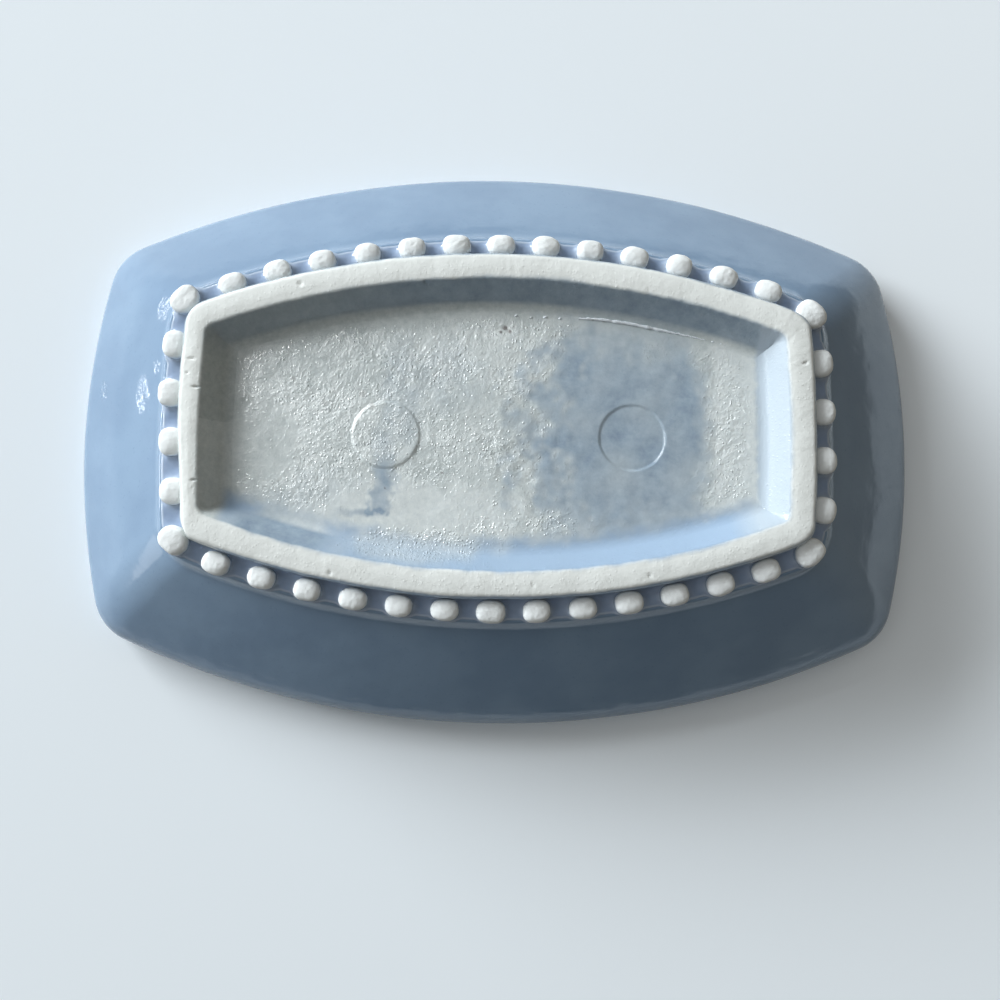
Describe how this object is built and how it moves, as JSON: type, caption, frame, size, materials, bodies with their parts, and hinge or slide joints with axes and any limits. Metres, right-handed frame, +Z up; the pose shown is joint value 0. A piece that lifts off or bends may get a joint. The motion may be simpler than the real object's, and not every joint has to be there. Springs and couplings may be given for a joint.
{
  "type": "ceramic soap dish",
  "caption": "Shallow glazed dish with bowed sides, a flared wall, low drain ribs, and a raised foot ring edged with a row of pearl beads.",
  "frame": {"origin": "under the middle of the dish, on the surface it stands on", "axes": "+Z up out of the well, +X along the dish, -Y its front long side"},
  "size_m": [0.13, 0.087, 0.023],
  "materials": {
    "blue_glaze": "glossy translucent blue glaze over a white body",
    "wiped_foot": "off-white body, wiped bare of glaze and fired matt"
  },
  "bodies": {
    "root": {"dish_body": "blue_glaze", "bead_band": "blue_glaze", "foot_ring": "wiped_foot", "drain_rib_1": "blue_glaze", "drain_rib_2": "blue_glaze", "drain_rib_3": "blue_glaze", "drain_rib_4": "blue_glaze", "drain_rib_5": "blue_glaze", "bead_front_01": "wiped_foot", "bead_front_02": "wiped_foot", "bead_front_03": "wiped_foot", "bead_front_04": "wiped_foot", "bead_front_05": "wiped_foot", "bead_front_06": "wiped_foot", "bead_front_07": "wiped_foot", "bead_front_08": "wiped_foot", "bead_front_09": "wiped_foot", "bead_front_10": "wiped_foot", "bead_front_11": "wiped_foot", "bead_front_12": "wiped_foot", "bead_front_13": "wiped_foot", "bead_back_01": "wiped_foot", "bead_back_02": "wiped_foot", "bead_back_03": "wiped_foot", "bead_back_04": "wiped_foot", "bead_back_05": "wiped_foot", "bead_back_06": "wiped_foot", "bead_back_07": "wiped_foot", "bead_back_08": "wiped_foot", "bead_back_09": "wiped_foot", "bead_back_10": "wiped_foot", "bead_back_11": "wiped_foot", "bead_back_12": "wiped_foot", "bead_back_13": "wiped_foot", "bead_left_1": "wiped_foot", "bead_left_2": "wiped_foot", "bead_left_3": "wiped_foot", "bead_left_4": "wiped_foot", "bead_right_1": "wiped_foot", "bead_right_2": "wiped_foot", "bead_right_3": "wiped_foot", "bead_right_4": "wiped_foot", "bead_corner_front_left": "wiped_foot", "bead_corner_front_right": "wiped_foot", "bead_corner_back_left": "wiped_foot", "bead_corner_back_right": "wiped_foot"}
  },
  "joints": []
}
